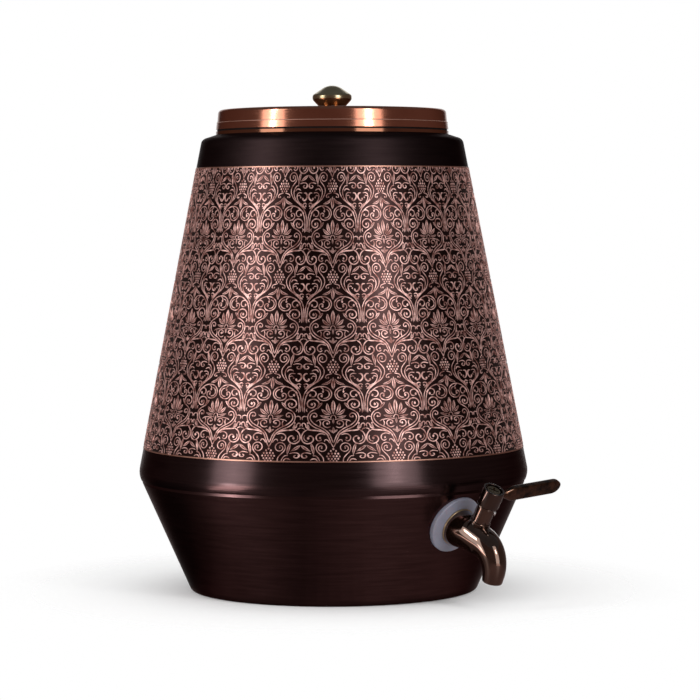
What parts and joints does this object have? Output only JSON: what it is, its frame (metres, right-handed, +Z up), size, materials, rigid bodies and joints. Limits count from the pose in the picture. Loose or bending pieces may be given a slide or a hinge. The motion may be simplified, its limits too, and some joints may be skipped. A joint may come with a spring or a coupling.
{
  "type": "copper water dispenser",
  "caption": "Tapered copper water vessel with a ridged waist, a lift-off lid with a turned knob, and a quarter-turn lever tap low on its front.",
  "frame": {"origin": "on the floor at the vessel's axis, in the plane of the foot ring", "axes": "+Z up the vessel's axis, -Y towards the tap, +X along the shut lever"},
  "size_m": [0.2588, 0.292, 0.335],
  "materials": {
    "dark_copper": "antique-darkened copper, brushed round the vessel and lacquered, with a damask band etched in relief",
    "bright_copper": "satin copper, spun",
    "antique_brass": "polished antique brass",
    "dark_bronze": "polished dark bronze plating",
    "plain_brass": "machined brass",
    "silicone": "milky translucent silicone",
    "black_rubber": "nitrile rubber",
    "steel": "bright stainless steel"
  },
  "bodies": {
    "vessel": {"upper_shell": "dark_copper", "lower_bowl": "dark_copper", "base_plate": "bright_copper", "neck_ring": "bright_copper", "tap_body": "dark_bronze", "outer_washer": "silicone", "inner_washer": "silicone", "backing_washer": "plain_brass", "lock_nut": "plain_brass", "stop_pin": "steel", "thrust_washer": "dark_bronze"},
    "lid": {"lid_shell": "bright_copper", "knob": "antique_brass", "knob_screw": "steel", "knob_washer": "steel"},
    "valve": {"valve_plug": "plain_brass", "upper_o_ring": "black_rubber", "lower_o_ring": "black_rubber", "lever": "dark_bronze", "lever_screw": "steel", "lever_washer": "steel"}
  },
  "joints": [
    {"name": "lid_lift", "type": "slide", "parent": "vessel", "child": "lid", "axis": [0, 0, 1], "range_m": [0, 0.08]},
    {"name": "lever_turn", "type": "hinge", "parent": "vessel", "child": "valve", "pos_m": [0, -0.13543, 0.04453], "axis": [0, 0.5146, -0.8574], "range_deg": [0, 90]}
  ]
}
